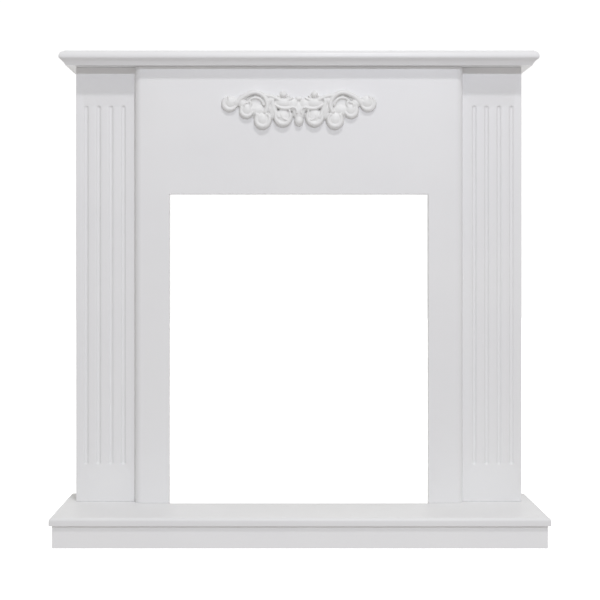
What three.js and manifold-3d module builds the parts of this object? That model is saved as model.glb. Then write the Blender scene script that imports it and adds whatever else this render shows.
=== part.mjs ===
// Mantelpiece for an electric fire, in millimetres.
// +Z is up, the front faces -Y, and the origin is on the floor at the middle of the bounding box.
import * as THREE from 'three';
import { mergeVertices } from 'three/addons/utils/BufferGeometryUtils.js';
import Module from 'manifold-3d';

const wasm = await Module();
wasm.setup();

// Opening, and the centre panel round it
const openingWidth = 520;
const openingHeight = 620;
const legWidth = 70;
const headerHeight = 257;
const panelThickness = 22;
const panelEdgeRadius = 14;

// Body: fluted side boards behind the centre panel, and returns to the wall
const flutedWidth = 120;
const bodyDepth = 113;
const pilasterBoard = 18;
const pilasterLap = 30;
const sideBoard = 18;

// Flutes
const fluteCount = 4;
const flutePitch = 25;
const fluteOuterMargin = 20.5;
const fluteFootGap = 75;
const fluteHeadGap = 77;
const fluteRadius = 5;
const fluteDepth = 3;

// Hearth
const hearthOverhang = 26;
const hearthApron = 185;
const slabThickness = 16;
const slabEdgeRadius = 7;
const plinthHeight = 43;
const plinthSetback = 6;
const plinthBoard = 18;

// Shelf and its moulded edge
const shelfOverhang = 29;
const shelfThickness = 29;
const noseStep = 1.4;
const noseStepInset = 9.5;
const noseRise = 11;
const noseUnderRadius = 6;
const noseUnderTurn = 50;
const coveInset = 12.6;
const coveHollow = 1.2;

// Ornament
const ornamentLength = 312;
const ornamentRise = 12.5;
const ornamentDrop = 88;

// Sizes and places that follow from these
const panelWidth = openingWidth + 2 * legWidth;
const bodyWidth = panelWidth + 2 * flutedWidth;
const bodyHeight = openingHeight + headerHeight;
const hearthWidth = bodyWidth + 2 * hearthOverhang;
const hearthDepth = bodyDepth + panelThickness + hearthApron;
const shelfWidth = bodyWidth + 2 * shelfOverhang;
const shelfDepth = bodyDepth + panelThickness + shelfOverhang;
const pilasterInnerX = panelWidth / 2 - pilasterLap;
const wallY = hearthDepth / 2;
const hearthFrontY = wallY - hearthDepth;
const pilasterFrontY = wallY - bodyDepth;
const pilasterBackY = pilasterFrontY + pilasterBoard;
const panelFrontY = pilasterFrontY - panelThickness;
const slabTopZ = plinthHeight + slabThickness;
const bodyTopZ = slabTopZ + bodyHeight;

const boardWhite = { color: 0xe9e9e8, roughness: 0.38, metalness: 0 };
const castWhite = { color: 0xefefec, roughness: 0.45, metalness: 0 };

const radians = THREE.MathUtils.degToRad;
const mix = THREE.MathUtils.lerp;

// A geometry with shared corners merged, as a solid that can be joined and cut
function solidOf(geometry) {
  const bare = geometry.clone();
  bare.deleteAttribute('normal');
  bare.deleteAttribute('uv');
  const merged = mergeVertices(bare);
  return new wasm.Manifold(new wasm.Mesh({
    numProp: 3,
    vertProperties: new Float32Array(merged.attributes.position.array),
    triVerts: new Uint32Array(merged.index.array),
  }));
}

// A solid back as a geometry
function geometryOf(solid) {
  const { vertProperties, triVerts } = solid.getMesh();
  const geometry = new THREE.BufferGeometry();
  geometry.setAttribute('position', new THREE.BufferAttribute(vertProperties, 3));
  geometry.setIndex(new THREE.BufferAttribute(triVerts, 1));
  geometry.computeVertexNormals();
  return geometry;
}

function closedGeometry(positions, index) {
  const geometry = new THREE.BufferGeometry();
  geometry.setAttribute('position', new THREE.Float32BufferAttribute(positions, 3));
  geometry.setIndex(index);
  geometry.computeVertexNormals();
  return geometry;
}

// A box between two corners
function boxBetween([x0, y0, z0], [x1, y1, z1]) {
  const geometry = new THREE.BoxGeometry(x1 - x0, y1 - y0, z1 - z0);
  geometry.translate((x0 + x1) / 2, (y0 + y1) / 2, (z0 + z1) / 2);
  return geometry;
}

// A closed body from a stack of level rectangles that share their back edge, lowest first
function stackedRectangles(layers, backY) {
  const positions = [];
  const index = [];
  for (const { halfWidth, frontY, z } of layers) {
    positions.push(-halfWidth, frontY, z, halfWidth, frontY, z);
    positions.push(halfWidth, backY, z, -halfWidth, backY, z);
  }
  for (let layer = 0; layer < layers.length - 1; layer += 1) {
    for (let side = 0; side < 4; side += 1) {
      const here = layer * 4 + side;
      const next = layer * 4 + ((side + 1) % 4);
      index.push(here, next, next + 4, here, next + 4, here + 4);
    }
  }
  const top = (layers.length - 1) * 4;
  index.push(0, 2, 1, 0, 3, 2);
  index.push(top, top + 1, top + 2, top, top + 2, top + 3);
  return closedGeometry(positions, index);
}

// The shelf's edge from the underside up: how far in from the nose and how high.
// A hollow rises to a round nose, and a flatter round runs back to a small step under the top.
function shelfProfile() {
  const noseZ = shelfThickness - noseStep - noseRise;
  const underTurn = radians(noseUnderTurn);
  const foot = new THREE.Vector2(coveInset, 0);
  const head = new THREE.Vector2(
    noseUnderRadius * (1 - Math.cos(underTurn)),
    noseZ - noseUnderRadius * Math.sin(underTurn),
  );
  const inward = new THREE.Vector2(head.y - foot.y, foot.x - head.x).normalize();
  const bend = foot.clone().lerp(head, 0.5).addScaledVector(inward, 2 * coveHollow);
  const cove = new THREE.QuadraticBezierCurve(foot, bend, head);
  const points = cove.getPoints(4).map(({ x, y }) => ({ inset: x, z: y }));
  const underSteps = 4;
  for (let step = 1; step <= underSteps; step += 1) {
    const turn = underTurn * (1 - step / underSteps);
    points.push({
      inset: noseUnderRadius * (1 - Math.cos(turn)),
      z: noseZ - noseUnderRadius * Math.sin(turn),
    });
  }
  const topSteps = 6;
  for (let step = 1; step <= topSteps; step += 1) {
    const turn = radians(90) * (step / topSteps);
    points.push({
      inset: noseStepInset * (1 - Math.cos(turn)),
      z: noseZ + noseRise * Math.sin(turn),
    });
  }
  points.push({ inset: noseStepInset, z: shelfThickness });
  return points;
}

function makeShelf() {
  const layers = shelfProfile().map(({ inset, z }) => ({
    halfWidth: shelfWidth / 2 - inset,
    frontY: wallY - shelfDepth + inset,
    z: bodyTopZ + z,
  }));
  return stackedRectangles(layers, wallY);
}

// Slab with its front and ends rounded above. The place of the fire is cut out at the back,
// as wide as the opening under the centre panel and up to the pilasters behind it.
function makeSlab() {
  const layers = [{ halfWidth: hearthWidth / 2, frontY: hearthFrontY, z: plinthHeight }];
  const steps = 5;
  for (let step = 0; step <= steps; step += 1) {
    const turn = radians(90) * (step / steps);
    const inset = slabEdgeRadius * (1 - Math.cos(turn));
    layers.push({
      halfWidth: hearthWidth / 2 - inset,
      frontY: hearthFrontY + inset,
      z: slabTopZ - slabEdgeRadius * (1 - Math.sin(turn)),
    });
  }
  const underZ = plinthHeight - slabThickness;
  const overZ = slabTopZ + slabThickness;
  const underOpening = boxBetween(
    [-openingWidth / 2, panelFrontY, underZ],
    [openingWidth / 2, wallY, overZ],
  );
  const behindPanel = boxBetween(
    [-pilasterInnerX, pilasterFrontY, underZ],
    [pilasterInnerX, wallY + slabThickness, overZ],
  );
  const slab = solidOf(stackedRectangles(layers, wallY));
  return geometryOf(slab.subtract(solidOf(underOpening)).subtract(solidOf(behindPanel)));
}

// Centre panel: outer front edges rounded, opening cut out
function makeCentrePanel() {
  const half = panelWidth / 2;
  const radius = panelEdgeRadius;
  const plan = new THREE.Shape();
  plan.moveTo(-half, panelThickness);
  plan.lineTo(-half, radius);
  plan.absarc(-half + radius, radius, radius, radians(180), radians(270), false);
  plan.lineTo(half - radius, 0);
  plan.absarc(half - radius, radius, radius, radians(270), radians(360), false);
  plan.lineTo(half, panelThickness);
  const board = new THREE.ExtrudeGeometry(plan, {
    depth: bodyHeight,
    bevelEnabled: false,
    curveSegments: 6,
  });
  board.translate(0, panelFrontY, slabTopZ);
  const cutter = boxBetween(
    [-openingWidth / 2, panelFrontY - panelThickness, slabTopZ - panelThickness],
    [openingWidth / 2, pilasterFrontY + panelThickness, slabTopZ + openingHeight],
  );
  return geometryOf(solidOf(board).subtract(solidOf(cutter)));
}

// Right pilaster: it laps behind the centre panel and has flutes with rounded ends in the rest
function makePilaster() {
  let board = solidOf(boxBetween(
    [pilasterInnerX, pilasterFrontY, slabTopZ],
    [bodyWidth / 2, pilasterBackY, bodyTopZ],
  ));
  const lowZ = slabTopZ + fluteFootGap;
  const highZ = bodyTopZ - fluteHeadGap;
  const straight = highZ - lowZ - 2 * fluteRadius;
  for (let flute = 0; flute < fluteCount; flute += 1) {
    const cutter = new THREE.CapsuleGeometry(fluteRadius, straight, 4, 16);
    cutter.rotateX(radians(90));
    cutter.translate(
      bodyWidth / 2 - fluteOuterMargin - flute * flutePitch,
      pilasterFrontY + fluteDepth - fluteRadius,
      (lowZ + highZ) / 2,
    );
    board = board.subtract(solidOf(cutter));
  }
  return geometryOf(board);
}

// The same geometry on the other side of the X = 0 plane
function mirrored(geometry) {
  const copy = geometry.clone();
  copy.scale(-1, 1, 1);
  const { array } = copy.index;
  for (let corner = 0; corner < array.length; corner += 3) {
    const kept = array[corner];
    array[corner] = array[corner + 1];
    array[corner + 1] = kept;
  }
  copy.computeVertexNormals();
  return copy;
}

// Ornament. It is drawn on the panel's face, with x outwards, z up and -y forwards, and then
// brought to its length and rise. The right half is drawn, and the left half is its mirror image.
// A scroll strand runs along a spiral: centre, radius and angle (degrees, from x to z) at its two
// ends, half width and rise at its two ends, and how much it swells between them.
const endScroll = [
  { centre: [136.5, 15], radius: [14, 13], angle: [210, 402], half: [2.8, 2.6], rise: [8, 8.5], swell: 1.2 },
  { centre: [132, 24], radius: [9.5, 8.5], angle: [215, 375], half: [2.4, 2.2], rise: [9, 10], swell: 0.7 },
];
const mainScroll = [
  { centre: [76, -12], radius: [54, 49], angle: [27, 62], half: [6.4, 5.4], rise: [9, 11], swell: 0 },
  { centre: [88, 9.5], radius: [24.5, 25.5], angle: [58, 215], half: [5.4, 5.4], rise: [11, 12], swell: 0 },
  { centre: [86, 8], radius: [16.5, 15.5], angle: [30, 175], half: [3.2, 3.2], rise: [9, 9.5], swell: 0.2 },
  { centre: [103, 10], radius: [8, 3.5], angle: [140, 460], half: [3.4, 3], rise: [10, 10.5], swell: 0 },
  { centre: [103, 0], radius: [12, 12], angle: [205, 385], half: [3, 3], rise: [10, 9], swell: 1 },
];
const hangingScroll = [
  { centre: [72, -19], radius: [13.5, 13], angle: [135, 405], half: [3.4, 3.2], rise: [12, 11], swell: 1 },
  { centre: [75, -4], radius: [11, 10.5], angle: [200, 345], half: [3.8, 3.4], rise: [10.5, 10], swell: 0.2 },
];
const middleScroll = [
  { centre: [8, 16], radius: [44, 44], angle: [-44, 5], half: [4.8, 4.2], rise: [11, 10], swell: 0.3 },
  { centre: [31.5, -13], radius: [15, 15], angle: [160, 385], half: [3.6, 3.4], rise: [11, 11], swell: 0.8 },
  { centre: [24, -8], radius: [12, 11], angle: [260, 350], half: [2.6, 2.4], rise: [11.5, 11], swell: 0.4 },
];
const leafAndHook = [
  { centre: [13, -4], radius: [9.5, 9], angle: [40, 200], half: [3.2, 3], rise: [10.5, 11], swell: 0.2 },
  { centre: [48, -7], radius: [30, 30], angle: [170, 190], half: [2.6, 2.6], rise: [11, 11], swell: 0 },
  { centre: [27, 36], radius: [34, 33], angle: [248, 318], half: [3.8, 2], rise: [11, 10], swell: 0.4 },
  { centre: [31, 52], radius: [34, 34], angle: [240, 304], half: [3.2, 2], rise: [9.5, 9], swell: 0.3 },
  { centre: [44, -30], radius: [64, 49.5], angle: [66, 95], half: [5.5, 4.5], rise: [10.5, 10], swell: 0 },
  { centre: [31, 29], radius: [10, 9.5], angle: [190, 350], half: [2.6, 2.4], rise: [8.5, 8.5], swell: 0 },
];
const strands = [...endScroll, ...mainScroll, ...hangingScroll, ...middleScroll, ...leafAndHook];

// Round masses between the strands: centre, half sizes along x and z, rise
const masses = [
  { centre: [31, 30], half: [7.8, 7.8], rise: 11.5 },
  { centre: [31, 13], half: [21, 12], rise: 10.5 },
  { centre: [12, 10], half: [14, 14], rise: 9.5 },
  { centre: [103, 0], half: [15, 15], rise: 10.5 },
  { centre: [112, 12], half: [9, 12], rise: 9 },
  { centre: [88, 9], half: [25, 25], rise: 4.5 },
  { centre: [84, -1], half: [20, 12], rise: 9.5 },
  { centre: [136, 15], half: [15, 14], rise: 9.5 },
  { centre: [72, -19.5], half: [16.5, 16.5], rise: 12 },
  { centre: [31.5, -13.5], half: [17, 16], rise: 10 },
  { centre: [52, 0], half: [10, 20], rise: 9.5 },
  { centre: [57, 19], half: [8, 10], rise: 9.5 },
];

// Round masses on the middle line
const middleMasses = [
  { centre: [0, -22.5], half: [9.8, 9.8], rise: 12 },
  { centre: [0, -2], half: [14, 20], rise: 9.5 },
  { centre: [0, 22], half: [9, 5], rise: 8 },
];

// A strand as a closed tube with an oval section and blunt ends, half of it behind the face
function strandGeometry({ centre, radius, angle, half, rise, swell }) {
  const sides = 8;
  const stepAngle = 22.5;
  const steps = Math.ceil(Math.abs(angle[1] - angle[0]) / stepAngle);
  const positions = [];
  const index = [];
  const ring = (share, forward, size) => {
    const turn = radians(mix(angle[0], angle[1], share));
    const reach = mix(radius[0], radius[1], share);
    const width = mix(half[0], half[1], share) * (1 + swell * Math.sin(Math.PI * share));
    const x = centre[0] + reach * Math.cos(turn) - forward * Math.sin(turn);
    const z = centre[1] + reach * Math.sin(turn) + forward * Math.cos(turn);
    for (let side = 0; side < sides; side += 1) {
      const around = (2 * Math.PI * side) / sides;
      const across = size * width * Math.cos(around);
      const out = size * mix(rise[0], rise[1], share) * Math.sin(around);
      positions.push(x + across * Math.cos(turn), -out, z + across * Math.sin(turn));
    }
  };
  const endShare = 0.6;
  ring(0, -half[0] * endShare, 1 - endShare);
  for (let step = 0; step <= steps; step += 1) {
    ring(step / steps, 0, 1);
  }
  ring(1, half[1] * endShare, 1 - endShare);
  const rings = steps + 3;
  for (let ringNumber = 0; ringNumber < rings - 1; ringNumber += 1) {
    for (let side = 0; side < sides; side += 1) {
      const here = ringNumber * sides + side;
      const next = ringNumber * sides + ((side + 1) % sides);
      index.push(here, here + sides, next + sides, here, next + sides, next);
    }
  }
  const last = (rings - 1) * sides;
  for (let side = 1; side < sides - 1; side += 1) {
    index.push(0, side, side + 1);
    index.push(last, last + side + 1, last + side);
  }
  return closedGeometry(positions, index);
}

function massGeometry({ centre, half, rise }) {
  const geometry = new THREE.SphereGeometry(1, 12, 8);
  geometry.scale(half[0], rise, half[1]);
  geometry.translate(centre[0], 0, centre[1]);
  return geometry;
}

function makeOrnament() {
  const pieces = [];
  for (const strand of strands) {
    const geometry = strandGeometry(strand);
    pieces.push(geometry, mirrored(geometry));
  }
  for (const mass of masses) {
    const geometry = massGeometry(mass);
    pieces.push(geometry, mirrored(geometry));
  }
  for (const mass of middleMasses) {
    pieces.push(massGeometry(mass));
  }
  const whole = wasm.Manifold.union(pieces.map(solidOf));
  const geometry = geometryOf(whole.trimByPlane([0, -1, 0], 0));
  geometry.computeBoundingBox();
  const drawn = geometry.boundingBox.getSize(new THREE.Vector3());
  const scale = ornamentLength / drawn.x;
  geometry.scale(scale, ornamentRise / drawn.y, scale);
  geometry.translate(0, panelFrontY, bodyTopZ - ornamentDrop);
  return geometry;
}

const mantelpiece = new THREE.Group();

function addPiece(name, geometry, look) {
  const mesh = new THREE.Mesh(geometry, new THREE.MeshStandardMaterial(look));
  mesh.name = name;
  mantelpiece.add(mesh);
}

// A piece and its mirror image on the left
function addPair(name, geometry, look) {
  addPiece(`${name}_right`, geometry, look);
  addPiece(`${name}_left`, mirrored(geometry), look);
}

addPiece('mantel_shelf', makeShelf(), boardWhite);
addPiece('centre_panel', makeCentrePanel(), boardWhite);
addPair('pilaster', makePilaster(), boardWhite);
addPair('side_panel', boxBetween(
  [bodyWidth / 2 - sideBoard, pilasterBackY, slabTopZ],
  [bodyWidth / 2, wallY, bodyTopZ],
), boardWhite);
addPiece('hearth_slab', makeSlab(), boardWhite);

const plinthHalf = hearthWidth / 2 - plinthSetback;
const plinthFrontY = hearthFrontY + plinthSetback;
addPiece('plinth_front', boxBetween(
  [-plinthHalf, plinthFrontY, 0],
  [plinthHalf, plinthFrontY + plinthBoard, plinthHeight],
), boardWhite);
addPair('plinth', boxBetween(
  [plinthHalf - plinthBoard, plinthFrontY + plinthBoard, 0],
  [plinthHalf, wallY, plinthHeight],
), boardWhite);
addPiece('scroll_ornament', makeOrnament(), castWhite);

export default mantelpiece;
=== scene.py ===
# Looks of the white mantelpiece: satin boards with eased edges, fluting and a cast scroll ornament.
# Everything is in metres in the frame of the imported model: front towards -Y, +Z up.
import math

import bmesh
import bpy
import numpy as np
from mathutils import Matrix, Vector


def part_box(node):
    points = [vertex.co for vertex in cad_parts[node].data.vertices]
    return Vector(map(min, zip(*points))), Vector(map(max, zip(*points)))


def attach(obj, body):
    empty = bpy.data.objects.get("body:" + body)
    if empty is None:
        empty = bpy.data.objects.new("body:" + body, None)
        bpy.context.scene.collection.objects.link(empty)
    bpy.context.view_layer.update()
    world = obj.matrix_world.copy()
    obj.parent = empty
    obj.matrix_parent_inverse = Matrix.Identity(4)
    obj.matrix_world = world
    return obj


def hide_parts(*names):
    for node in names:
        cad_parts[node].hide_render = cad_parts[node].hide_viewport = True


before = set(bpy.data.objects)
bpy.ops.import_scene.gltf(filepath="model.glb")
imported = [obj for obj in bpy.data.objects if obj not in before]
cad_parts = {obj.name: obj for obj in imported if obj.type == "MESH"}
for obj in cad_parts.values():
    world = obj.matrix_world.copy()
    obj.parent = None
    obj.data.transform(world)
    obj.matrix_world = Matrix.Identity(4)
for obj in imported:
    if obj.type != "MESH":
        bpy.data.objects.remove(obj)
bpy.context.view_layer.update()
MM = 0.001

# Camera, from the photograph's vanishing point and its scale at the slab's front edge
PHOTO_SIZE = 600
VANISHING_POINT = (281, 262)
MM_PER_PIXEL = 1.8901
CAMERA_DISTANCE = 2.991
EYE_ABOVE_HEARTH = 0.484
SENSOR = 36

# Lights: two lamps in front, above and a little to the right
STEEP_LAMP = (0.4, -2.45, 4.31)
STEEP_TARGET = (0, 0, 0.7)
STEEP_SIZE = 0.26
STEEP_POWER = 53
STEEP_COLOUR = (0.98, 0.975, 1)
LOW_LAMP = (0.42, -3.7, 2.15)
LOW_TARGET = (0, 0, 0.6)
LOW_SIZE = 0.14
LOW_POWER = 41
LOW_COLOUR = (0.86, 0.89, 1)

# Soft light of the white room: its colour by height, from straight below (-1) to straight
# above (1), its strength on the far left and the far right, and how white the room looks
DIRECTIONS = (-1, 1)
ROOM_LEVELS = (
    (-1, (0.49, 0.47, 0.465)),
    (-0.1, (0.465, 0.445, 0.44)),
    (0.1, (0.43, 0.425, 0.395)),
    (1, (0.55, 0.54, 0.52)),
)
ROOM_SIDES = (0.94, 1.06)
ROOM_SEEN = 1.05
FLOOR_REACH = 12
FLOOR_TONE = 0.6

# Film and paint: each noise as its scale and detail, each relief as its strength and height
BLEND_ENDS = (0.3, 0.7)
FILM_CLOUD = (5, 3)
FILM_SMEAR = (23, 4)
FILM_PEEL = (420, 2)
FILM_RELIEF = (0.06, 0.4 * MM)
FILM_ROUGH_SPREAD = (-0.04, 0.05)
PAINT_GRAIN = (600, 3)
PAINT_RELIEF = (0.08, 0.3 * MM)
PAINT_ROUGH = (0.4, 0.5)
# Painted shade in the casting's hollows: how far it reaches, its samples and its grey tone
PAINTED_SHADE_REACH = 6 * MM
PAINTED_SHADE_SAMPLES = 8
PAINTED_SHADE_TONE = (0.6, 0.595, 0.58)
PAINT_TONE = (0.8, 0.8, 0.79)

# Eased edges and corners that the solids don't have
MERGE_DISTANCE = 1e-6
BOARD_EDGE = 1.0 * MM
BOARD_EDGE_SEGMENTS = 3
SHELF_CORNER = 3.0 * MM
SHELF_CORNER_SHRINK = 0.2
SHELF_EDGE = 0.4 * MM
SLAB_CORNER = 3 * MM
SLAB_UNDER_EDGE = 0.6 * MM
FLUTE_LIP = 1.0 * MM
FLUTE_LIP_BEND = (0.35, 0.12)
FLUTE_ROUND_SHARE = 0.8

# Moulding, flutes and rounded edges, with the sizes that the solids have
FLUTE_COUNT = 4
FLUTE_PITCH = 25 * MM
FLUTE_OUTER_MARGIN = 20.5 * MM
FLUTE_FOOT_GAP = 75 * MM
FLUTE_HEAD_GAP = 77 * MM
FLUTE_RADIUS = 5 * MM
FLUTE_DEPTH = 3 * MM
FLUTE_CENTRE_RISE = FLUTE_RADIUS - FLUTE_DEPTH
FLUTE_HALF_WIDTH = math.sqrt(FLUTE_RADIUS**2 - FLUTE_CENTRE_RISE**2)
NOSE_STEP = 1.4 * MM
NOSE_STEP_INSET = 9.5 * MM
NOSE_RISE = 11 * MM
NOSE_UNDER_RADIUS = 6 * MM
NOSE_UNDER_TURN = 50
COVE_INSET = 12.6 * MM
COVE_HOLLOW = 1.2 * MM
PANEL_EDGE_RADIUS = 14 * MM
SLAB_EDGE_RADIUS = 7 * MM


def add_object(name, data):
    piece = bpy.data.objects.new(name, data)
    bpy.context.scene.collection.objects.link(piece)
    return piece


def mesh_object(name, verts, faces):
    mesh = bpy.data.meshes.new(name)
    mesh.from_pydata([tuple(v) for v in verts], [], faces)
    mesh.validate()
    return add_object(name, mesh)


def clean_normals(piece, sharp_angle=35):
    """Faces outward, smooth shading, sharp where the surface turns by more than the angle."""
    mesh = bmesh.new()
    mesh.from_mesh(piece.data)
    bmesh.ops.remove_doubles(mesh, verts=mesh.verts, dist=MERGE_DISTANCE)
    bmesh.ops.recalc_face_normals(mesh, faces=mesh.faces)
    mesh.to_mesh(piece.data)
    mesh.free()
    piece.data.shade_smooth()
    piece.data.set_sharp_from_angle(angle=math.radians(sharp_angle))


def ease_edges(piece, angle=60):
    """A small round on every edge that turns by more than the angle."""
    step = piece.modifiers.new("edge", "BEVEL")
    step.width = BOARD_EDGE
    step.segments = BOARD_EDGE_SEGMENTS
    step.limit_method = "ANGLE"
    step.angle_limit = math.radians(angle)
    step.use_clamp_overlap = True
    step.harden_normals = True


def dress(piece, node, material):
    piece.data.materials.clear()
    piece.data.materials.append(material)
    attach(piece, "root")
    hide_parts(node)


def quarter_turns(steps):
    """Angles from 0 to 90 degrees in equal steps, in radians."""
    return [math.radians(90) * step / steps for step in range(steps + 1)]


# Materials


def new_material(name):
    """A material with its node tree and its shader."""
    material = bpy.data.materials.new(name)
    material.use_nodes = True
    tree = material.node_tree
    return material, tree, tree.nodes["Principled BSDF"]


def noise(tree, coords, pattern):
    scale, detail = pattern
    texture = tree.nodes.new("ShaderNodeTexNoise")
    texture.inputs["Scale"].default_value = scale
    texture.inputs["Detail"].default_value = detail
    tree.links.new(coords.outputs["Object"], texture.inputs["Vector"])
    return texture.outputs["Fac"]


def blend_range(tree, source, low, high, ends=BLEND_ENDS):
    """What the source holds between the two ends, spread from low to high."""
    step = tree.nodes.new("ShaderNodeMapRange")
    step.inputs["From Min"].default_value = ends[0]
    step.inputs["From Max"].default_value = ends[1]
    step.inputs["To Min"].default_value = low
    step.inputs["To Max"].default_value = high
    tree.links.new(source, step.inputs["Value"])
    return step.outputs["Result"]


def tone(tree, factor, low, high):
    """A colour from low to high, as the factor goes from 0 to 1."""
    step = tree.nodes.new("ShaderNodeMix")
    step.data_type = "RGBA"
    step.inputs["A"].default_value = (*low, 1)
    step.inputs["B"].default_value = (*high, 1)
    tree.links.new(factor, step.inputs["Factor"])
    return step.outputs["Result"]


def add_relief(tree, shader, source, relief):
    strength, height = relief
    bump = tree.nodes.new("ShaderNodeBump")
    bump.inputs["Strength"].default_value = strength
    bump.inputs["Distance"].default_value = height
    tree.links.new(source, bump.inputs["Height"])
    tree.links.new(bump.outputs["Normal"], shader.inputs["Normal"])


def board_film(name, low, high, rough, shine=0.45):
    """Satin film over fibreboard: faint cloudiness, fine orange peel."""
    material, tree, shader = new_material(name)
    coords = tree.nodes.new("ShaderNodeTexCoord")
    cloud = blend_range(tree, noise(tree, coords, FILM_CLOUD), 0, 1)
    tree.links.new(tone(tree, cloud, low, high), shader.inputs["Base Color"])
    smoother, rougher = FILM_ROUGH_SPREAD
    smear = noise(tree, coords, FILM_SMEAR)
    gloss = blend_range(tree, smear, rough + smoother, rough + rougher)
    tree.links.new(gloss, shader.inputs["Roughness"])
    add_relief(tree, shader, noise(tree, coords, FILM_PEEL), FILM_RELIEF)
    shader.inputs["Specular IOR Level"].default_value = shine
    return material


def cast_paint(name):
    """Soft white paint on a casting, with painted shade that greys it in its hollows."""
    material, tree, shader = new_material(name)
    coords = tree.nodes.new("ShaderNodeTexCoord")
    # Painted shade: ambient occlusion mixes the paint towards the grey tone in the hollows
    hollow = tree.nodes.new("ShaderNodeAmbientOcclusion")
    hollow.inputs["Distance"].default_value = PAINTED_SHADE_REACH
    hollow.samples = PAINTED_SHADE_SAMPLES
    shade = blend_range(tree, hollow.outputs["AO"], 0, 1)
    paint = tone(tree, shade, PAINTED_SHADE_TONE, PAINT_TONE)
    tree.links.new(paint, shader.inputs["Base Color"])
    grain = noise(tree, coords, PAINT_GRAIN)
    add_relief(tree, shader, grain, PAINT_RELIEF)
    tree.links.new(blend_range(tree, grain, *PAINT_ROUGH), shader.inputs["Roughness"])
    return material


BOARD = board_film("white_board_film", (0.795, 0.795, 0.80), (0.815, 0.815, 0.815), 0.36)
# Painted light: the hearth's film is the board film made a little lighter, standing in for light from
# the floor, and it shines less
HEARTH = board_film("white_hearth_film_painted_lighter", (0.81, 0.81, 0.815), (0.83, 0.83, 0.83), 0.42, 0.3)
# Painted light: the plinth's film is the board film made lighter, standing in for light from the floor
PLINTH_PAINTED_LIGHTER = board_film("white_plinth_film_painted_lighter", (0.865, 0.865, 0.87), (0.885, 0.885, 0.885), 0.42)
CAST = cast_paint("white_cast_paint_painted_shade")


# Shelf and hearth slab, stacked from level outlines


def moulding_profile():
    """The shelf's edge from the underside up, as (inset from the nose, height above the underside)."""
    low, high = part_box("mantel_shelf")
    top_z = high.z - low.z
    nose_z = top_z - NOSE_STEP - NOSE_RISE

    def under_nose(lean):
        inset = NOSE_UNDER_RADIUS * (1 - math.cos(lean))
        return Vector((inset, nose_z - NOSE_UNDER_RADIUS * math.sin(lean)))

    def over_nose(lean):
        inset = NOSE_STEP_INSET * (1 - math.cos(lean))
        return Vector((inset, nose_z + NOSE_RISE * math.sin(lean)))

    turn = math.radians(NOSE_UNDER_TURN)
    foot = Vector((COVE_INSET, 0))
    head = under_nose(turn)
    inward = Vector((head.y - foot.y, foot.x - head.x)).normalized()
    bend = (foot + head) / 2 + inward * 2 * COVE_HOLLOW
    points = []
    steps = 10
    for step in range(steps):
        t = step / steps
        points.append(foot * (1 - t) ** 2 + bend * 2 * t * (1 - t) + head * t**2)
    for step in range(steps + 1):
        points.append(under_nose(turn * (1 - step / steps)))
    for lean in quarter_turns(14)[1:]:
        points.append(over_nose(lean))
    points.append(Vector((NOSE_STEP_INSET, top_z - SHELF_EDGE)))
    points.append(Vector((NOSE_STEP_INSET + SHELF_EDGE, top_z)))
    return points


def rounded_front(half_width, front_y, back_y, corner):
    """A level outline with rounded front corners and square back ones, anticlockwise from above."""
    points = []
    for side, start in ((-1, math.radians(180)), (1, math.radians(270))):
        for turn in quarter_turns(5):
            points.append(
                (
                    side * (half_width - corner) + corner * math.cos(start + turn),
                    front_y + corner + corner * math.sin(start + turn),
                )
            )
    points.append((half_width, back_y))
    points.append((-half_width, back_y))
    return points


def stack(name, outlines):
    """A closed mesh from level outlines of equal length, each a (list of points, height)."""
    count = len(outlines[0][0])
    verts = [(x, y, z) for points, z in outlines for x, y in points]
    faces = []
    for level in range(len(outlines) - 1):
        for corner in range(count):
            here = level * count + corner
            after = level * count + (corner + 1) % count
            faces.append((here, after, after + count, here + count))
    top = (len(outlines) - 1) * count
    faces.append(tuple(reversed(range(count))))
    faces.append(tuple(range(top, top + count)))
    return mesh_object(name, verts, faces)


def make_shelf():
    """Shelf with its moulding on the front and both ends."""
    low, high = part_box("mantel_shelf")
    outlines = []
    for inset, rise in moulding_profile():
        corner = max(SHELF_CORNER - inset * SHELF_CORNER_SHRINK, SHELF_EDGE)
        outline = rounded_front(high.x - inset, low.y + inset, high.y, corner)
        outlines.append((outline, low.z + rise))
    piece = stack("shelf_moulded", outlines)
    clean_normals(piece)
    dress(piece, "mantel_shelf", BOARD)


def make_slab():
    """Hearth slab: front and ends rounded above, cut out behind the opening."""
    low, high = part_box("hearth_slab")
    opening_low, opening_high = opening()
    pilaster_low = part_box("pilaster_right")[0]
    right = [
        (pilaster_low.x, high.y),
        (pilaster_low.x, pilaster_low.y),
        (opening_high.x, pilaster_low.y),
        (opening_high.x, opening_low.y),
    ]
    notch = right + [(-x, y) for x, y in reversed(right)]
    rows = [(SLAB_UNDER_EDGE, low.z), (0, low.z + SLAB_UNDER_EDGE)]
    for turn in quarter_turns(12):
        inset = SLAB_EDGE_RADIUS * (1 - math.cos(turn))
        rows.append((inset, high.z - SLAB_EDGE_RADIUS * (1 - math.sin(turn))))
    outlines = []
    for inset, z in rows:
        outline = rounded_front(high.x - inset, low.y + inset, high.y, SLAB_CORNER)
        outlines.append((outline[:-1] + notch + outline[-1:], z))
    piece = stack("hearth_slab_rounded", outlines)
    clean_normals(piece)
    dress(piece, "hearth_slab", HEARTH)


# Centre panel, fluted pilasters and plain boards


def opening():
    """The opening of the centre panel as its low and high corner, from the panel's own corners."""
    low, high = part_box("centre_panel")
    corners = [corner.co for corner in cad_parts["centre_panel"].data.vertices]
    foot_reach = 10 * MM
    half = min(abs(corner.x) for corner in corners if corner.z < low.z + foot_reach)
    lintel = min(corner.z for corner in corners if corner.z > low.z + foot_reach)
    return Vector((-half, low.y, low.z)), Vector((half, high.y, lintel))


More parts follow.
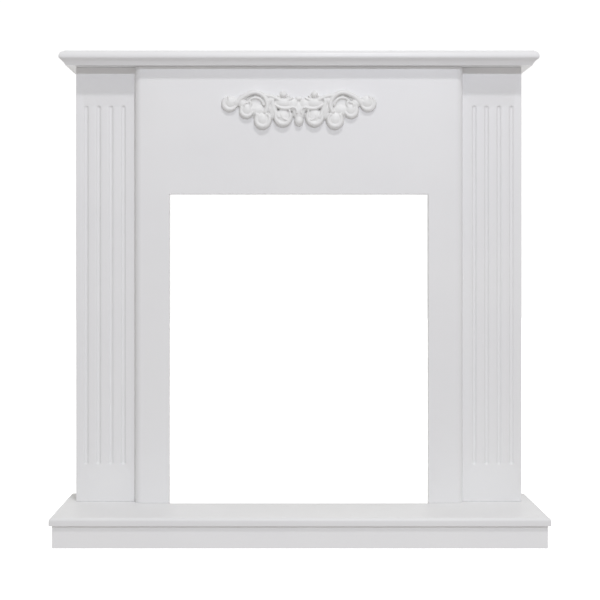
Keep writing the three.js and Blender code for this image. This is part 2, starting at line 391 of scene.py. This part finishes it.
def make_centre_panel():
    """U-shaped board: outer front edges rounded, a tight radius round the opening."""
    low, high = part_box("centre_panel")
    opening_high = opening()[1]
    edge = []
    for turn in quarter_turns(12):
        inset = PANEL_EDGE_RADIUS * (1 - math.sin(turn))
        edge.append((high.x - inset, low.y + PANEL_EDGE_RADIUS * (1 - math.cos(turn))))
    plan = [(opening_high.x, low.y)] + edge + [(high.x, high.y), (opening_high.x, high.y)]
    # Every corner of the plan is a column of three vertices: at the foot, the lintel and the top
    levels = (low.z, opening_high.z, high.z)
    verts = []
    faces = []
    inner_columns = []
    for mirror in (1, -1):
        start = len(verts)
        verts.extend((mirror * x, y, z) for x, y in plan for z in levels)
        columns = range(start, len(verts), len(levels))
        for here, after in zip(columns, columns[1:]):
            for level in range(2):
                faces.append((here + level, after + level, after + level + 1, here + level + 1))
        front, back = columns[0], columns[-1]
        faces.append((front, back, back + 1, front + 1))
        faces.append(tuple(columns))
        faces.append(tuple(column + 2 for column in columns))
        inner_columns.append((front, back))
    for right, left in zip(*inner_columns):
        faces.append((left + 1, right + 1, right + 2, left + 2))
    (right_front, right_back), (left_front, left_back) = inner_columns
    for level in (1, 2):
        faces.append((left_front + level, left_back + level, right_back + level, right_front + level))
    piece = mesh_object("centre_panel_film", verts, faces)
    clean_normals(piece)
    ease_edges(piece)
    dress(piece, "centre_panel", BOARD)


def flute_loops():
    """Section of a flute from the face inwards: (distance from the flute's middle line, depth)."""
    bend_out, bend_in = FLUTE_LIP_BEND
    loops = [
        (FLUTE_HALF_WIDTH + FLUTE_LIP, 0),
        (FLUTE_HALF_WIDTH + FLUTE_LIP * bend_out, FLUTE_LIP * bend_in),
    ]
    edge_turn = math.asin(FLUTE_HALF_WIDTH / FLUTE_RADIUS)
    steps = 8
    for step in range(steps):
        turn = edge_turn * FLUTE_ROUND_SHARE * (1 - step / steps)
        depth = FLUTE_RADIUS * math.cos(turn) - FLUTE_CENTRE_RISE
        loops.append((FLUTE_RADIUS * math.sin(turn), depth))
    return loops


def stadium(x, low_z, high_z, half, steps=10):
    """Upright outline with round ends, as (x, z) points."""
    points = []
    for end, start in ((high_z, 0), (low_z, 180)):
        for step in range(steps + 1):
            turn = math.radians(start + 180 * step / steps)
            points.append((x + half * math.cos(turn), end + half * math.sin(turn)))
    return points


def ring_edges(mesh, ring):
    return [mesh.edges.new((ring[i], ring[(i + 1) % len(ring)])) for i in range(len(ring))]


def ring_faces(mesh, outer, inner):
    """Faces between two closed rings with the same number of vertices."""
    for i in range(len(outer)):
        after = (i + 1) % len(outer)
        mesh.faces.new((outer[i], outer[after], inner[after], inner[i]))


def add_flute(mesh, x, face_y, low_end, high_end):
    """The hollow of one flute between the middles of its round ends; gives its rim on the face."""
    rings = []
    for half, depth in flute_loops():
        outline = stadium(x, low_end, high_end, half)
        rings.append([mesh.verts.new((px, face_y + depth, pz)) for px, pz in outline])
    rim = ring_edges(mesh, rings[0])
    for outer, inner in zip(rings, rings[1:]):
        ring_faces(mesh, outer, inner)
    last = rings[-1]
    top, bottom = [mesh.verts.new((x, face_y + FLUTE_DEPTH, z)) for z in (high_end, low_end)]
    half_count = len(last) // 2
    for start, middle in ((0, top), (half_count, bottom)):
        for i in range(start, start + half_count - 1):
            mesh.faces.new((last[i], last[i + 1], middle))
    mesh.faces.new((last[half_count - 1], last[half_count], bottom, top))
    mesh.faces.new((last[-1], last[0], top, bottom))
    return rim


def make_pilaster(name, node):
    """Board with its flutes sunk into the front face."""
    low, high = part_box(node)
    side = 1 if high.x > 0 else -1
    outer_edge = max(high.x, -low.x)
    mesh = bmesh.new()
    front = [
        mesh.verts.new((x, low.y, z))
        for x, z in ((low.x, low.z), (high.x, low.z), (high.x, high.z), (low.x, high.z))
    ]
    back = [mesh.verts.new((v.co.x, high.y, v.co.z)) for v in front]
    rim = ring_edges(mesh, front)
    ring_faces(mesh, front, back)
    mesh.faces.new(back)
    low_end = low.z + FLUTE_FOOT_GAP + FLUTE_HALF_WIDTH
    high_end = high.z - FLUTE_HEAD_GAP - FLUTE_HALF_WIDTH
    for flute in range(FLUTE_COUNT):
        x = side * (outer_edge - FLUTE_OUTER_MARGIN - flute * FLUTE_PITCH)
        rim.extend(add_flute(mesh, x, low.y, low_end, high_end))
    bmesh.ops.triangle_fill(mesh, use_beauty=True, edges=rim)
    bmesh.ops.recalc_face_normals(mesh, faces=mesh.faces)
    data = bpy.data.meshes.new(name)
    mesh.to_mesh(data)
    mesh.free()
    piece = add_object(name, data)
    clean_normals(piece, sharp_angle=40)
    ease_edges(piece, angle=75)
    dress(piece, node, BOARD)


def make_board(name, node, material):
    """A plain board with softly rounded edges."""
    low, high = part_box(node)
    verts = [(x, y, z) for x in (low.x, high.x) for y in (low.y, high.y) for z in (low.z, high.z)]
    faces = [(0, 1, 3, 2), (4, 6, 7, 5), (0, 4, 5, 1), (2, 3, 7, 6), (0, 2, 6, 4), (1, 5, 7, 3)]
    piece = mesh_object(name, verts, faces)
    clean_normals(piece)
    ease_edges(piece)
    dress(piece, node, material)


# Ornament, drawn in millimetres on the panel's face: x outwards, z up, rise forwards.
# The right half is drawn, and the left half is its mirror image.
# A strand is a spiral: centre, radius and angle (degrees) at its two ends, half width and rise
# there, and how much it swells between them.

END_SCROLL = (
    ((136.5, 15), (14, 13), (210, 402), (2.8, 2.6), (8, 8.5), 1.2),
    ((132, 24), (9.5, 8.5), (215, 375), (2.4, 2.2), (9, 10), 0.7),
)
MAIN_SCROLL = (
    ((76, -12), (54, 49), (27, 62), (6.4, 5.4), (9, 11), 0),
    ((88, 9.5), (24.5, 25.5), (58, 215), (5.4, 5.4), (11, 12), 0),
    ((86, 8), (16.5, 15.5), (30, 175), (3.2, 3.2), (9, 9.5), 0.2),
    ((103, 10), (8, 3.5), (140, 460), (3.4, 3), (10, 10.5), 0),
    ((103, 0), (12, 12), (205, 385), (3, 3), (10, 9), 1),
)
HANGING_SCROLL = (
    ((72, -19), (13.5, 13), (135, 405), (3.4, 3.2), (12, 11), 1),
    ((75, -4), (11, 10.5), (200, 345), (3.8, 3.4), (10.5, 10), 0.2),
)
MIDDLE_SCROLL = (
    ((8, 16), (44, 44), (-44, 5), (4.8, 4.2), (11, 10), 0.3),
    ((31.5, -13), (15, 15), (160, 385), (3.6, 3.4), (11, 11), 0.8),
    ((24, -8), (12, 11), (260, 350), (2.6, 2.4), (11.5, 11), 0.4),
)
LEAF_AND_HOOK = (
    ((13, -4), (9.5, 9), (40, 200), (3.2, 3), (10.5, 11), 0.2),
    ((48, -7), (30, 30), (170, 190), (2.6, 2.6), (11, 11), 0),
    ((27, 36), (34, 33), (248, 318), (3.8, 2), (11, 10), 0.4),
    ((31, 52), (34, 34), (240, 304), (3.2, 2), (9.5, 9), 0.3),
    ((44, -30), (64, 49.5), (66, 95), (5.5, 4.5), (10.5, 10), 0),
    ((31, 29), (10, 9.5), (190, 350), (2.6, 2.4), (8.5, 8.5), 0),
)
STRANDS = END_SCROLL + MAIN_SCROLL + HANGING_SCROLL + MIDDLE_SCROLL + LEAF_AND_HOOK

# Round masses: centre, half sizes, rise
MASSES = (
    ((31, 30), (7.8, 7.8), 11.5),
    ((31, 13), (21, 12), 10.5),
    ((12, 10), (14, 14), 9.5),
    ((103, 0), (15, 15), 10.5),
    ((112, 12), (9, 12), 9),
    ((88, 9), (25, 25), 4.5),
    ((84, -1), (20, 12), 9.5),
    ((136, 15), (15, 14), 9.5),
    ((72, -19.5), (16.5, 16.5), 12),
    ((31.5, -13.5), (17, 16), 10),
    ((52, 0), (10, 20), 9.5),
    ((57, 19), (8, 10), 9.5),
)
MIDDLE_MASSES = (
    ((0, -22.5), (9.8, 9.8), 12),
    ((0, -2), (14, 20), 9.5),
    ((0, 22), (9, 5), 8),
)
STRAND_SIDES = 16
STRAND_RING_DEGREES = 6
STRAND_LEAST_RINGS = 6
STRAND_END_RINGS = 3
STRAND_TIP_SHARE = 0.4
MASS_SIDES = 32
MASS_BANDS = 12
SECTION_FULLNESS = 0.9
ORNAMENT_BACK = 1.5
ORNAMENT_DROP = 88 * MM
FUSE_VOXEL = 0.8 * MM
SMOOTH_FACTOR = 0.5
SMOOTH_ROUNDS = 4


def full_round(share):
    """A sine or cosine made fuller, so that a section has steeper sides and a flatter crown."""
    return math.copysign(abs(share) ** SECTION_FULLNESS, share)


def between(ends, share):
    return ends[0] + (ends[1] - ends[0]) * share


def tube_faces(start, rings, sides, mirror):
    """Faces between rings of vertices that follow each other from the start vertex on."""
    faces = []
    for ring in range(rings - 1):
        for side in range(sides):
            here = start + ring * sides + side
            after = start + ring * sides + (side + 1) % sides
            faces.append((here, here + sides, after + sides, after)[::mirror])
    return faces


def strand_rings(angle, half):
    """Rings of a strand: share of the way along it, distance past its end, and size."""
    steps = max(STRAND_LEAST_RINGS, int(abs(angle[1] - angle[0]) / STRAND_RING_DEGREES))
    last_step = STRAND_END_RINGS + STRAND_TIP_SHARE
    backs = []
    for step in range(STRAND_END_RINGS):
        backs.append(math.cos(math.radians(90) * (step + STRAND_TIP_SHARE) / last_step))
    rings = [(0, -half[0] * back, math.sqrt(1 - back**2)) for back in backs]
    rings += [(step / steps, 0, 1) for step in range(steps + 1)]
    rings += [(1, half[1] * back, math.sqrt(1 - back**2)) for back in reversed(backs)]
    return rings


def strand_mesh(strand, mirror):
    """Vertices and faces of one strand: oval rings along its spiral, with round ends."""
    centre, radius, angle, half, rise, swell = strand
    sides = STRAND_SIDES
    rings = strand_rings(angle, half)
    verts = []
    for share, forward, size in rings:
        turn = math.radians(between(angle, share))
        reach = between(radius, share)
        width = size * between(half, share)
        width *= 1 + swell * math.sin(math.pi * share)
        height = size * between(rise, share)
        x = centre[0] + reach * math.cos(turn) - forward * math.sin(turn)
        z = centre[1] + reach * math.sin(turn) + forward * math.cos(turn)
        for side in range(sides):
            around = 2 * math.pi * side / sides
            across = width * full_round(math.cos(around))
            out = max(height * full_round(math.sin(around)), -ORNAMENT_BACK)
            verts.append((mirror * (x + across * math.cos(turn)), -out, z + across * math.sin(turn)))
    last = (len(rings) - 1) * sides
    faces = tube_faces(0, len(rings), sides, mirror)
    faces.append(tuple(range(sides))[::mirror])
    faces.append(tuple(reversed(range(last, last + sides)))[::mirror])
    return verts, faces


def mass_mesh(mass, mirror):
    """Vertices and faces of a dome, with a short wall behind the panel's face."""
    centre, half, rise = mass
    sides = MASS_SIDES
    bands = MASS_BANDS
    verts = [(mirror * centre[0], -rise, centre[1])]
    for lean in quarter_turns(bands)[1:]:
        for side in range(sides):
            around = 2 * math.pi * side / sides
            x = mirror * (centre[0] + half[0] * math.sin(lean) * math.cos(around))
            z = centre[1] + half[1] * math.sin(lean) * math.sin(around)
            verts.append((x, -rise * math.cos(lean), z))
    verts.extend([(x, ORNAMENT_BACK, z) for x, _, z in verts[-sides:]])
    last = 1 + bands * sides
    faces = [(0, 1 + side, 1 + (side + 1) % sides)[::mirror] for side in range(sides)]
    faces += tube_faces(1, bands + 1, sides, mirror)
    faces.append(tuple(reversed(range(last, last + sides)))[::mirror])
    return verts, faces


def rough_ornament(low, high):
    """All strands and masses as overlapping closed meshes, brought to the solid's length and rise."""
    middle_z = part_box("centre_panel")[1].z - ORNAMENT_DROP
    parts = [strand_mesh(strand, mirror) for strand in STRANDS for mirror in (1, -1)]
    parts += [mass_mesh(mass, mirror) for mass in MASSES for mirror in (1, -1)]
    parts += [mass_mesh(mass, 1) for mass in MIDDLE_MASSES]
    scale = high.x / max(x for part_verts, _ in parts for x, _, _ in part_verts)
    forward = (high.y - low.y) / max(-y for part_verts, _ in parts for _, y, _ in part_verts)
    verts = []
    faces = []
    for part_verts, part_faces in parts:
        start = len(verts)
        verts.extend(
            (x * scale, high.y + y * forward, middle_z + z * scale) for x, y, z in part_verts
        )
        faces.extend(tuple(start + corner for corner in face) for face in part_faces)
    return mesh_object("ornament_rough", verts, faces)


def make_ornament():
    """All strands and masses fused into one skin, smoothed, and cut flat at the panel's face."""
    low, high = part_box("scroll_ornament")
    rough = rough_ornament(low, high)
    fuse = rough.modifiers.new("fuse", "REMESH")
    fuse.mode = "VOXEL"
    fuse.voxel_size = FUSE_VOXEL
    smooth = rough.modifiers.new("smooth", "SMOOTH")
    smooth.factor = SMOOTH_FACTOR
    smooth.iterations = SMOOTH_ROUNDS
    view = bpy.context.evaluated_depsgraph_get()
    data = bpy.data.meshes.new_from_object(rough.evaluated_get(view))
    bpy.data.objects.remove(rough)
    places = np.empty(len(data.vertices) * 3, np.float32)
    data.vertices.foreach_get("co", places)
    places = places.reshape(-1, 3)
    places[:, 0] = np.clip(places[:, 0], low.x, high.x)
    places[:, 1] = np.minimum(places[:, 1], high.y)
    places[:, 2] = np.clip(places[:, 2], low.z, high.z)
    data.vertices.foreach_set("co", places.ravel())
    data.update()
    data.shade_smooth()
    piece = add_object("ornament_casting", data)
    dress(piece, "scroll_ornament", CAST)


make_shelf()
make_slab()
make_centre_panel()
make_pilaster("pilaster_fluted_left", "pilaster_left")
make_pilaster("pilaster_fluted_right", "pilaster_right")
make_board("side_board_left", "side_panel_left", BOARD)
make_board("side_board_right", "side_panel_right", BOARD)
make_board("plinth_board_front", "plinth_front", PLINTH_PAINTED_LIGHTER)
make_board("plinth_board_left", "plinth_left", PLINTH_PAINTED_LIGHTER)
make_board("plinth_board_right", "plinth_right", PLINTH_PAINTED_LIGHTER)
make_ornament()


# Camera, lights and stage


def make_camera():
    slab_low, slab_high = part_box("hearth_slab")
    data = bpy.data.cameras.new("camera")
    data.sensor_width = SENSOR
    data.lens = SENSOR * CAMERA_DISTANCE / (MM_PER_PIXEL * MM * PHOTO_SIZE)
    data.shift_x = (PHOTO_SIZE / 2 - VANISHING_POINT[0]) / PHOTO_SIZE
    data.shift_y = (VANISHING_POINT[1] - PHOTO_SIZE / 2) / PHOTO_SIZE
    camera = add_object("camera", data)
    camera.location = (
        (VANISHING_POINT[0] - PHOTO_SIZE / 2) * MM_PER_PIXEL * MM,
        slab_low.y - CAMERA_DISTANCE,
        slab_high.z + EYE_ABOVE_HEARTH,
    )
    camera.rotation_euler = (math.radians(90), 0, 0)
    bpy.context.scene.camera = camera


def make_light(name, place, target, size, power, colour):
    data = bpy.data.lights.new(name, "AREA")
    data.shape = "DISK"
    data.size = size
    data.energy = power
    data.color = colour
    light = add_object(name, data)
    light.location = place
    light.rotation_euler = (Vector(target) - Vector(place)).to_track_quat("-Z", "Y").to_euler()


def room_colour(tree, height):
    """The soft light's colour by the height of the direction that it comes from."""
    levels = tree.nodes.new("ShaderNodeValToRGB")
    ramp = levels.color_ramp
    while len(ramp.elements) < len(ROOM_LEVELS):
        ramp.elements.new(0.5)
    for stop, (rise, colour) in zip(ramp.elements, ROOM_LEVELS):
        stop.position = (rise + 1) / 2
        stop.color = (*colour, 1)
    tree.links.new(blend_range(tree, height, 0, 1, DIRECTIONS), levels.inputs["Fac"])
    return levels.outputs["Color"]


def make_world():
    """White room: soft light on the object, and plain white where the room is seen or mirrored."""
    world = bpy.data.worlds.new("world")
    bpy.context.scene.world = world
    world.use_nodes = True
    tree = world.node_tree
    seen = tree.nodes["Background"]
    seen.inputs["Color"].default_value = (1, 1, 1, 1)
    seen.inputs["Strength"].default_value = ROOM_SEEN
    direction = tree.nodes.new("ShaderNodeTexCoord")
    parts = tree.nodes.new("ShaderNodeSeparateXYZ")
    tree.links.new(direction.outputs["Generated"], parts.inputs["Vector"])
    soft = tree.nodes.new("ShaderNodeBackground")
    tree.links.new(room_colour(tree, parts.outputs["Z"]), soft.inputs["Color"])
    strength = blend_range(tree, parts.outputs["X"], *ROOM_SIDES, DIRECTIONS)
    tree.links.new(strength, soft.inputs["Strength"])
    path = tree.nodes.new("ShaderNodeLightPath")
    either = tree.nodes.new("ShaderNodeMath")
    either.operation = "MAXIMUM"
    tree.links.new(path.outputs["Is Camera Ray"], either.inputs[0])
    tree.links.new(path.outputs["Is Glossy Ray"], either.inputs[1])
    mix = tree.nodes.new("ShaderNodeMixShader")
    tree.links.new(either.outputs["Value"], mix.inputs["Fac"])
    tree.links.new(soft.outputs["Background"], mix.inputs[1])
    tree.links.new(seen.outputs["Background"], mix.inputs[2])
    tree.links.new(mix.outputs["Shader"], tree.nodes["World Output"].inputs["Surface"])


def make_floor():
    """White floor that looks like the room and throws no light on the object."""
    reach = FLOOR_REACH
    floor = mesh_object(
        "studio_floor",
        [(-reach, -reach, 0), (reach, -reach, 0), (reach, reach, 0), (-reach, reach, 0)],
        [(0, 1, 2, 3)],
    )
    material, _, shader = new_material("studio_floor")
    shader.inputs["Base Color"].default_value = (FLOOR_TONE, FLOOR_TONE, FLOOR_TONE, 1)
    shader.inputs["Roughness"].default_value = 1
    shader.inputs["Specular IOR Level"].default_value = 0
    shader.inputs["Emission Color"].default_value = (1, 1, 1, 1)
    shader.inputs["Emission Strength"].default_value = ROOM_SEEN
    floor.data.materials.append(material)
    floor.visible_diffuse = False


make_camera()
make_light("steep_light", STEEP_LAMP, STEEP_TARGET, STEEP_SIZE, STEEP_POWER, STEEP_COLOUR)
make_light("low_light", LOW_LAMP, LOW_TARGET, LOW_SIZE, LOW_POWER, LOW_COLOUR)
make_world()
make_floor()

bpy.context.scene.view_settings.view_transform = "Standard"
bpy.context.scene.view_settings.look = "None"
